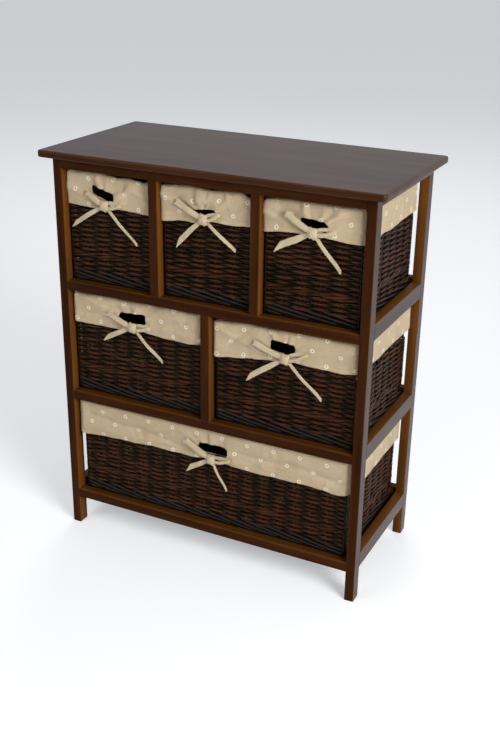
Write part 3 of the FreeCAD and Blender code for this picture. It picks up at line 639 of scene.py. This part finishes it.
def outline(width, depth, radius, column):
    # points round a rounded rectangle from the middle of its rear: place, outward direction and distance run
    reachX = width / 2 - radius
    reachY = depth / 2 - radius
    pieces = [("line", (0, depth / 2), (-reachX, depth / 2), (0, 1)),
              ("arc", (-reachX, reachY), 90, 180),
              ("line", (-width / 2, reachY), (-width / 2, -reachY), (-1, 0)),
              ("arc", (-reachX, -reachY), 180, 270),
              ("line", (-reachX, -depth / 2), (reachX, -depth / 2), (0, -1)),
              ("arc", (reachX, -reachY), 270, 360),
              ("line", (width / 2, -reachY), (width / 2, reachY), (1, 0)),
              ("arc", (reachX, reachY), 0, 90),
              ("line", (reachX, depth / 2), (0, depth / 2), (0, 1))]
    found = []
    run = 0.0
    for kind, *facts in pieces:
        if kind == "line":
            begin, end, away = (Vector(v) for v in facts)
            length = (end - begin).length
            count = max(2, round(length / column))
            for i in range(count):
                found.append((begin.lerp(end, i / count), away, run + length * i / count))
        else:
            centre = Vector(facts[0])
            length = radius * math.pi / 2
            count = 5
            for i in range(count):
                angle = math.radians(facts[1] + (facts[2] - facts[1]) * i / count)
                away = Vector((math.cos(angle), math.sin(angle)))
                found.append((centre + away * radius, away, run + length * i / count))
        run += length
    return found, run


def ripple(a, b, c=0.0):
    return noise.noise(Vector((a, b, c)))


def foldRise(folds, x, z):  # all in millimetres
    rise = 0.0
    for x0, z0, x1, z1, height, width in folds:
        share = ((x - x0) * (x1 - x0) + (z - z0) * (z1 - z0)) / ((x1 - x0) ** 2 + (z1 - z0) ** 2)
        share = max(0.0, min(1.0, share))
        near = math.hypot(x - x0 - (x1 - x0) * share, z - z0 - (z1 - z0) * share)
        rise += height * math.exp(-((near / width) ** 2 + 0.04) ** 0.5 * 2.2) * 2.1
    return rise


def cuffRows(facts, place, away, run, width, depth, knot, seed):
    # offsets from the basket's wall and heights over its foot: up from the hem, over the rim and down inside
    look = linerLook
    shoulder = look["cuffTop"] - look["shoulder"]
    front = max(0.0, -away.y)
    hem = acrossBack(facts["hem"], place.x / width) * (1 - front)
    hem += blendTable(facts["hem"], place.x / mm) * mm * front
    hem += ripple(run * 24, seed) * 2.6 * mm * (1 - 0.75 * front) + ripple(run * 90, seed + 1) * 0.5 * mm
    crest = acrossBack(facts["crest"], place.x / width) * (1 - front)
    crest += blendTable(facts["crest"], place.x / mm) * mm * front
    crest += ripple(run * 34, seed + 3) * 3.2 * mm + ripple(run * 90, seed + 4) * 1.5 * mm
    crest = min(crest, facts["headroom"] * mm)
    # between the front posts or dividers the side of the cuff has only this room
    handed = 1 if place.x > 0 else 0
    spread = facts["spread"][handed] * mm * max(0.0, 1 - abs(away.y))
    room = max(3 * mm + facts["proud"] * mm, spread + 2 * mm)
    if place.y < -depth / 2 + look["postDepth"]:
        room = min(room, facts["room"][handed] * mm)
    rows = []
    for i in range(look["outerRows"] + 1):
        t = i / look["outerRows"]
        z = hem + (shoulder - hem) * t
        loose = (ripple(run * 26, seed + 7, z * 14) * 1.9 + ripple(run * 60, seed + 9, z * 26) * 1.0) * mm
        flap = look["stand"] + facts["proud"] * mm + 0.8 * mm * (1 - t) ** 2 + loose * (1 - 0.4 * t)
        most = look["slack"] + facts["proud"] * mm
        if front > 0.5:
            ray = Vector((place.x, z)) - knot
            reach = ray.length
            angle = math.atan2(ray.y, ray.x)
            fade = math.exp(-reach / look["pleatReach"]) * min(1.0, reach / look["pleatStart"])
            crimp = math.cos(angle * look["pleats"] + ripple(angle * 1.7, seed) * 5)
            flap += math.copysign(abs(crimp) ** 0.7, crimp) * look["pleatHeight"] * fade
            flap += foldRise(facts["folds"], place.x / mm, z / mm) * mm
        else:
            flap += spread * 0.7
            most = look["stand"] + room
        rows.append((max(0.8 * mm, min(flap, most)), z))
    outer = rows[-1][0]
    inner = -(look["wall"] + 1.7 * mm)
    for i in range(1, look["foldRows"] + 1):
        angle = math.pi * i / look["foldRows"]
        rows.append(((outer + inner) / 2 + (outer - inner) / 2 * math.cos(angle),
                     shoulder + (crest - shoulder) * math.sin(angle)))
    for i in range(1, look["innerRows"] + 1):
        t = i / look["innerRows"]
        z = shoulder + (look["bagLow"] - shoulder) * t
        sag = abs(ripple(run * 26, seed + 11, z * 9)) * 1.6 * mm * math.sin(math.pi * t)
        rows.append((inner - look["taper"] * t - sag, z))
    return rows


def markFlat(face, uvLayer, across, up):  # unrolls a face straight along two of the axes
    for loop in face.loops:
        loop[uvLayer].uv = (loop.vert.co[across], loop.vert.co[up])


def closeBag(bm, uvLayer, rim, centre, seed):  # the bag's bottom, in rings towards its middle
    edge = rim
    for share in linerLook["floorShares"]:
        inner = []
        for corner in rim:
            x = centre.x + (corner.co.x - centre.x) * share
            y = centre.y + (corner.co.y - centre.y) * share
            dip = ripple(x * 30, y * 30, seed) * 1.2 * mm + 1.0 * mm
            inner.append(bm.verts.new((x, y, corner.co.z + dip)))
        for j in range(len(edge)):
            k = (j + 1) % len(edge)
            markFlat(bm.faces.new((edge[j], edge[k], inner[k], inner[j])), uvLayer, 0, 1)
        edge = inner
    markFlat(bm.faces.new(edge), uvLayer, 0, 1)


def makeLining(name, facts, centre, foot, width, depth, cloth):
    look = linerLook
    radius = look["cornerRadius"]
    ring, length = outline(width, depth, radius, look["column"])
    seed = sum(map(ord, name)) * 0.37
    knot = Vector((facts["knotAside"] * mm, look["cuffTop"] - facts["knotDrop"] * mm))
    bm = bmesh.new()
    uvLayer = bm.loops.layers.uv.new("cloth")
    printLayer = bm.loops.layers.uv.new("print")
    columns = []
    for place, away, run in ring:
        shareX = max(-1.0, min(1.0, place.x / (width / 2 - radius)))
        shareY = max(-1.0, min(1.0, place.y / (depth / 2 - radius)))
        travelled = 0.0
        column = []
        for offset, z in cuffRows(facts, place, away, run, width, depth, knot, seed):
            bend = max(radius + offset, 1.2 * mm)
            point = Vector((centre.x + shareX * (width / 2 + offset - bend) + away.x * bend,
                            centre.y + shareY * (depth / 2 + offset - bend) + away.y * bend, foot + z))
            if column:
                travelled += (point - column[-1][0].co).length
            column.append((bm.verts.new(point), travelled))
        columns.append(column)
    runs = [run for place, away, run in ring] + [length]
    for j, left in enumerate(columns):
        right = columns[(j + 1) % len(columns)]
        for i in range(len(left) - 1):
            face = bm.faces.new((left[i][0], right[i][0], right[i + 1][0], left[i + 1][0]))
            marks = ((runs[j], left[i][1]), (runs[j + 1], right[i][1]), (runs[j + 1], right[i + 1][1]),
                     (runs[j], left[i + 1][1]))
            for loop, mark in zip(face.loops, marks):
                loop[uvLayer].uv = mark
                loop[printLayer].uv = (mark[0] - length / 2 - facts["print"][0] * mm,
                                       mark[1] - facts["print"][1] * mm)
    closeBag(bm, uvLayer, [column[-1][0] for column in columns], centre, seed)
    for face in bm.faces:
        face.smooth = True
    piece = newPiece(name, meshFrom(bm, name))
    piece.data.materials.append(cloth)
    solid = piece.modifiers.new("thickness", "SOLIDIFY")
    solid.thickness = look["cloth"]
    solid.offset = 1.0
    cutter = holeCutter(name + "_cutter", centre.x + knot.x, centre.y - depth / 2, foot + look["cuffTop"],
                        facts["hole"])
    cut = piece.modifiers.new("handHole", "BOOLEAN")
    cut.operation = "DIFFERENCE"
    cut.solver = "EXACT"
    cut.object = cutter
    settle(piece)
    bpy.data.objects.remove(cutter)
    return piece


def holeCutter(name, x, y, z, hole, perCorner=6):
    aside, drop, holeWidth, holeHeight, tilt = hole
    radius = holeHeight * 0.33 * mm
    bm = bmesh.new()
    ends = []
    for reach, wider in ((-16 * mm, 0.0), (3 * mm, 0.0), (6 * mm, 24 * mm), (30 * mm, 24 * mm)):
        width = holeWidth * mm + wider
        height = holeHeight * mm + wider * 0.6
        ring = []
        for corner, (sx, sy) in enumerate(((1, -1), (1, 1), (-1, 1), (-1, -1))):
            for i in range(perCorner + 1):
                angle = math.radians(-90 + corner * 90 + 90 * i / perCorner)
                a = sx * (width / 2 - radius) + radius * math.cos(angle)
                b = sy * (height / 2 - radius) + radius * math.sin(angle) + a * tilt
                ring.append(bm.verts.new((x + aside * mm + a, y + reach, z - drop * mm + b)))
        ends.append(ring)
    count = len(ends[0])
    for first, second in zip(ends, ends[1:]):
        for i in range(count):
            j = (i + 1) % count
            bm.faces.new((first[i], first[j], second[j], second[i]))
    bm.faces.new(list(reversed(ends[0])))
    bm.faces.new(ends[-1])
    bmesh.ops.recalc_face_normals(bm, faces=bm.faces)
    return newPiece(name, meshFrom(bm, name))


# Bows

bowLook = {
    "loopWidth": 10.0 * mm,
    "rootWidth": 7.0 * mm,
    "cloth": 1.4 * mm,
    "knot": (8.0 * mm, 4.4 * mm, 8.2 * mm),
    "knotBands": ((122, 10.2, 5.8, 8.0), (48, 9.6, 7.6, 6.2)),
    "turnDepth": 2.2 * mm,
    "low": 0.8 * mm,
    "loopSteps": 8,
    "tailSteps": 18,
}
bandSection = ((-1, 0), (-0.94, 0.45), (-0.55, 0.52), (0, 0.30), (0.55, 0.52), (0.94, 0.45),
               (1, 0), (0.94, -0.45), (0.4, -0.5), (-0.4, -0.5), (-0.94, -0.45))


def sweepBand(bm, uvLayer, path, widths, across, thickness, slant=0.0):
    # a folded strip along a path, with a seam sunk along its middle and its end cut aslant
    rings = []
    run = 0.0
    for i, (point, width, side) in enumerate(zip(path, widths, across)):
        ahead = (path[min(i + 1, len(path) - 1)] - path[max(i - 1, 0)]).normalized()
        side = (side - ahead * side.dot(ahead)).normalized()
        face = ahead.cross(side)
        if i:
            run += (point - path[i - 1]).length
        cut = slant * max(0.0, (i / (len(path) - 1) - 0.8) / 0.2)
        rings.append([(bm.verts.new(point + side * (a * width / 2) + face * (b * thickness)
                                    + ahead * (a * width * cut)), a * width / 2, run) for a, b in bandSection])
    for r0, r1 in zip(rings, rings[1:]):
        for i in range(len(r0)):
            j = (i + 1) % len(r0)
            face = bm.faces.new((r0[i][0], r0[j][0], r1[j][0], r1[i][0]))
            face.smooth = True
            for loop, mark in zip(face.loops, (r0[i], r0[j], r1[j], r1[i])):
                loop[uvLayer].uv = (mark[1], mark[2])
    bm.faces.new([mark[0] for mark in reversed(rings[0])])
    bm.faces.new([mark[0] for mark in rings[-1]])


outward = Vector((0, -1, 0))


def limbDirection(angle):
    turn = math.radians(angle)
    return Vector((math.cos(turn), 0, math.sin(turn)))


def addLoop(bm, uvLayer, knot, k, limb, seed):
    # the left loop lies flat, the right one is narrower and stands open between its two strips
    look = bowLook
    length, angle, spread = limb
    ahead = limbDirection(angle)
    side = outward.cross(ahead)
    reach = length * mm
    full = look["loopWidth"] * (1.0 if k == 0 else 0.58)
    root = look["rootWidth"] * (1.0 if k == 0 else 0.7)
    low = look["low"]
    high = low + look["turnDepth"] * 2

    def parted(t):
        return side * spread * mm * ((t ** 0.8 - 0.25) * 0.6 if k == 0 else math.sin(math.pi * t ** 0.8) * 0.75)

    def widened(t):
        return root + (full - root) * min(1, t * 1.8)

    path = []
    widths = []
    for i in range(look["loopSteps"] + 1):  # outward on the cuff
        t = i / look["loopSteps"]
        path.append(knot + ahead * reach * t * 0.97 + outward * (low + 1.0 * mm * math.sin(math.pi * t))
                    + parted(t))
        widths.append(widened(t))
    for i in range(1, 6):  # round the end of the loop
        turn = math.pi * i / 6
        path.append(knot + ahead * (reach * 0.97 + look["turnDepth"] * math.sin(turn))
                    + outward * ((low + high) / 2 - (high - low) / 2 * math.cos(turn)) + parted(1) * math.cos(turn))
        widths.append(full)
    for i in range(look["loopSteps"] + 1):  # and back over itself
        t = 1 - i / look["loopSteps"]
        path.append(knot + ahead * reach * t * 0.97 + outward * (high - 1.2 * mm * (1 - t)
                    + 1.3 * mm * math.sin(math.pi * t)) - parted(t))
        widths.append(widened(t))
    acrosses = [side + Vector((0, ripple(i * 0.5, seed, k) * 0.3, 0)) for i in range(len(path))]
    sweepBand(bm, uvLayer, path, widths, acrosses, look["cloth"])


def addTail(bm, uvLayer, knot, k, limb, seed):
    look = bowLook
    length, angle, width = limb
    ahead = limbDirection(angle)
    side = outward.cross(ahead)
    reach = length * mm
    root = look["rootWidth"] * 0.8
    path = []
    widths = []
    acrosses = []
    for i in range(look["tailSteps"] + 1):
        t = i / look["tailSteps"]
        droop = reach * 0.008 * math.sin(math.pi * t) * (1 if k else -1) + ripple(t * 2, seed, k) * 1.5 * mm * t
        lift = (1.2 + 3.0 * math.sin(math.pi * min(1, t * 1.1)) ** 2 + 1.0 * t) * mm
        path.append(knot + ahead * reach * t + side * droop + outward * lift)
        widths.append(root + (width * mm - root) * min(1, t * 2.4))
        acrosses.append(side + Vector((0, 0.5 * ripple(t * 2.2, seed + 5, k), 0)))
    sweepBand(bm, uvLayer, path, widths, acrosses, look["cloth"] * 0.8, 1.0 if k == 0 else -0.4)


def addKnot(bm, uvLayer, knot, seed):  # two bands crossed over a creased lump of cloth
    look = bowLook
    wide, deep, high = look["knot"]
    for angle, reach, lift, width in look["knotBands"]:
        ahead = limbDirection(angle)
        turns = [math.radians(-84 + 14 * i) for i in range(13)]
        path = [knot + ahead * reach * mm * math.sin(turn) + outward * (lift * math.cos(turn) + 1.5) * mm
                for turn in turns]
        widths = [width * mm * (0.8 + 0.2 * math.cos(turn)) for turn in turns]
        sweepBand(bm, uvLayer, path, widths, [outward.cross(ahead)] * len(path), look["cloth"])
    made = bmesh.ops.create_uvsphere(bm, u_segments=24, v_segments=16, radius=1.0)
    for vert in made["verts"]:
        spot = vert.co.copy()
        wrap = spot.x * 0.55 + spot.z
        crease = 0.94 + 0.12 * abs(math.sin(wrap * 4.6 + 0.4)) ** 0.5 + 0.12 * ripple(spot.x * 2, spot.z * 2, seed)
        square = 1.14 - 0.14 * max(abs(spot.x), abs(spot.z))
        vert.co = (knot + Vector((spot.x * wide, spot.y * deep, spot.z * high)) * crease * square
                   + outward * deep * 0.9)
    for face in {face for vert in made["verts"] for face in vert.link_faces}:
        face.smooth = True
        markFlat(face, uvLayer, 0, 2)


def makeBow(name, facts, centre, foot, front, cloth):
    bm = bmesh.new()
    uvLayer = bm.loops.layers.uv.new("cloth")
    knot = Vector((centre.x + facts["knotAside"] * mm, front,
                   foot + linerLook["cuffTop"] - facts["knotDrop"] * mm))
    seed = sum(map(ord, name)) * 0.21
    for k, limb in enumerate(facts["loops"]):
        addLoop(bm, uvLayer, knot, k, limb, seed)
    for k, limb in enumerate(facts["tails"]):
        addTail(bm, uvLayer, knot, k, limb, seed)
    addKnot(bm, uvLayer, knot, seed)
    bmesh.ops.recalc_face_normals(bm, faces=bm.faces)
    piece = newPiece(name, meshFrom(bm, name))
    piece.data.materials.append(cloth)
    soft = piece.modifiers.new("soft", "SUBSURF")
    soft.levels = 1
    soft.render_levels = 1
    return settle(piece)


# Assembly

woodX = stainedWood("stainedWoodAcross", "X")
woodY = stainedWood("stainedWoodDeep", "Y", shift=3.1)
woodZ = stainedWood("stainedWoodUpright", "Z", shift=7.7)
topLook = dict(woodLook, grainScale=30.0, edgeWearHighlightShare=0.7, coatRoughness=0.15, coat=0.56, frontCoat=0.26, innerShare=0.0)
woodTop = stainedWood("stainedWoodTop", "X", topLook, 12.3)
beechLook = dict(woodLook, dark=(0.38, 0.24, 0.12), middle=(0.50, 0.34, 0.19), light=(0.60, 0.43, 0.26),
                 innerShare=0.0, edge=(0.50, 0.34, 0.19), coat=0.0, frontCoat=0.0, specular=0.3)
beech = stainedWood("plainBeech", "Y", beechLook)
steel, steelTree, steelSurface = newMaterial("platedSteel", Metallic=1.0, Roughness=0.32)
speckle = noiseFac(steelTree, out(steelTree, put(steelTree, "ShaderNodeTexCoord"), "Object"), 900.0, 2.0)
feed(steelTree, steelSurface.inputs["Base Color"], ramp(steelTree, speckle, [
    (0.4, (0.52, 0.50, 0.45)), (0.6, (0.68, 0.66, 0.60))]))
bump(steelTree, steelSurface, speckle, 0.00005)

for name, node in cadNodes.items():
    if name.startswith(("wicker", "liner", "tie")):
        continue
    if name == "top_panel":
        finish = woodTop
    elif name.endswith("dowels"):
        finish = beech
    elif name.endswith("screws"):
        finish = steel
    elif name.startswith(("post", "divider")):
        finish = woodZ
    elif name.startswith(("side", "runner")):
        finish = woodY
    else:
        finish = woodX
    for place in node.material_slots:
        place.material = finish
print("frame finished in stained wood")

willow = willowMaterial()
printedCloth = clothMaterial("printedCotton", True)
plainCloth = clothMaterial("plainCotton", False, dict(
    clothLook, shade=(0.46, 0.365, 0.235), cream=(0.55, 0.455, 0.305), slub=(0.63, 0.54, 0.38)))
weave = weaveTree()
for name, facts in baskets.items():
    low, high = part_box("wicker_" + name)
    centre = (low + high) / 2
    width = high.x - low.x
    depth = high.y - low.y
    body = "basket_" + name
    woven = newPiece("woven_" + name, bpy.data.meshes.new("woven_" + name))
    aside, drop, holeWidth, holeHeight, tilt = facts["hole"]
    grow(woven, weave, {
        "centreX": centre.x, "centreY": centre.y, "floorZ": low.z, "width": width, "depth": depth,
        "height": high.z - low.z, "stakesAcross": float(facts["stakes"][0]), "stakesDeep": float(facts["stakes"][1]),
        "toLeft": facts["spread"][0] * mm, "toRight": facts["spread"][1] * mm,
        "hem": min(height for place, height in facts["hem"]) * mm,
        "holeX": centre.x + (facts["knotAside"] + aside) * mm, "holeZ": low.z + linerLook["cuffTop"] - drop * mm,
        "holeWidth": (holeWidth + 8) * mm, "holeHeight": (holeHeight + 10) * mm,
        "seed": float(weaveLook["seed"]) + centre.x * 10 + low.z * 7, "willow": willow})
    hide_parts("wicker_" + name)
    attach(woven, body)

    lining = makeLining("lining_" + name, facts, centre, low.z, width, depth, printedCloth)
    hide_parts("liner_" + name)
    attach(lining, body)

    front = low.y - (linerLook["stand"] + 2.4 * mm + facts["proud"] * mm)
    bow = makeBow("bow_" + name, facts, centre, low.z, front, plainCloth)
    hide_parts("tie_" + name)
    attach(bow, body)

# Stage, lights and camera

stageLook = {
    "floorColour": (0.80, 0.82, 0.86),
    "floorGlow": 0.42,
    "backdropColour": (0.88, 0.91, 0.97),
    "roomColour": (0.30, 0.30, 0.295),
    "frontColour": (0.42, 0.42, 0.43),
    "key": {"place": (2.50, -1.45, 1.75), "size": 1.5, "power": 92.0, "colour": (1.0, 0.97, 0.92)},
    "back": {"place": (-0.8, 2.3, 2.9), "size": 1.6, "power": 24.0, "colour": (1.0, 0.99, 0.97)},
    "fill": {"place": (-1.6, -2.6, 1.6), "size": 1.8, "power": 19.0, "colour": (1.0, 0.985, 0.96)},
}


def lookedAt(tree):  # one for what the camera, polish and glass see, nought for what lights the chest
    paths = put(tree, "ShaderNodeLightPath")
    return out(tree, paths, "Is Camera Ray").math("MAXIMUM", out(tree, paths, "Is Glossy Ray")).math(
        "MAXIMUM", out(tree, paths, "Is Transmission Ray"))


floorMaterial, floorTree, floorSurface = newMaterial("paleFloor", Roughness=0.9, Specular_IOR_Level=0.1)
floorSurface.inputs["Base Color"].default_value = (*stageLook["floorColour"], 1)
floorSurface.inputs["Emission Color"].default_value = (*stageLook["floorColour"], 1)
feed(floorTree, floorSurface.inputs["Emission Strength"], lookedAt(floorTree) * stageLook["floorGlow"])
bm = bmesh.new()
bmesh.ops.create_grid(bm, x_segments=1, y_segments=1, size=20)
floor = newPiece("floor", meshFrom(bm, "floor"))
floor.data.materials.append(floorMaterial)

# the camera and the polish on the wood see a pale backdrop behind the chest and a dim room before it
world = bpy.data.worlds.new("studio")
bpy.context.scene.world = world
world.use_nodes = True
sky = world.node_tree
backdrop = sky.nodes["Background"]
heading = out(sky, put(sky, "ShaderNodeSeparateXYZ", {
    "Vector": out(sky, put(sky, "ShaderNodeTexCoord"), "Generated")}), "Y")
shown = mixColour(sky, (heading * 2.2 + 0.5).unit(), stageLook["frontColour"], stageLook["backdropColour"])
feed(sky, backdrop.inputs["Color"], mixColour(sky, lookedAt(sky), stageLook["roomColour"], shown))
backdrop.inputs["Strength"].default_value = 1.0

for name in ("key", "fill", "back"):
    facts = stageLook[name]
    lamp = bpy.data.lights.new(name, "AREA")
    lamp.shape = "DISK"
    lamp.size = facts["size"]
    lamp.energy = facts["power"]
    lamp.color = facts["colour"]
    holder = bpy.data.objects.new(name, lamp)
    bpy.context.scene.collection.objects.link(holder)
    holder.location = facts["place"]
    holder.rotation_mode = "QUATERNION"
    holder.rotation_quaternion = (Vector((0, 0, 0.35)) - Vector(facts["place"])).to_track_quat("-Z", "Y")

shot = {"place": (0.77446, -1.54153, 1.06239), "yaw": 0.4557, "pitch": -0.4121, "roll": 0.0159, "lens": 51.2}
ahead = Vector((-math.sin(shot["yaw"]) * math.cos(shot["pitch"]), math.cos(shot["yaw"]) * math.cos(shot["pitch"]),
                math.sin(shot["pitch"])))
level = Vector((math.cos(shot["yaw"]), math.sin(shot["yaw"]), 0))
above = level.cross(ahead)
right = level * math.cos(shot["roll"]) + above * math.sin(shot["roll"])
upward = above * math.cos(shot["roll"]) - level * math.sin(shot["roll"])
lens = bpy.data.cameras.new("photo")
lens.lens = shot["lens"]
lens.sensor_width = 36
camera = bpy.data.objects.new("photo", lens)
bpy.context.scene.collection.objects.link(camera)
camera.matrix_world = Matrix.Translation(shot["place"]) @ Matrix((right, upward, -ahead)).transposed().to_4x4()
bpy.context.scene.camera = camera
bpy.context.scene.view_settings.view_transform = "Standard"
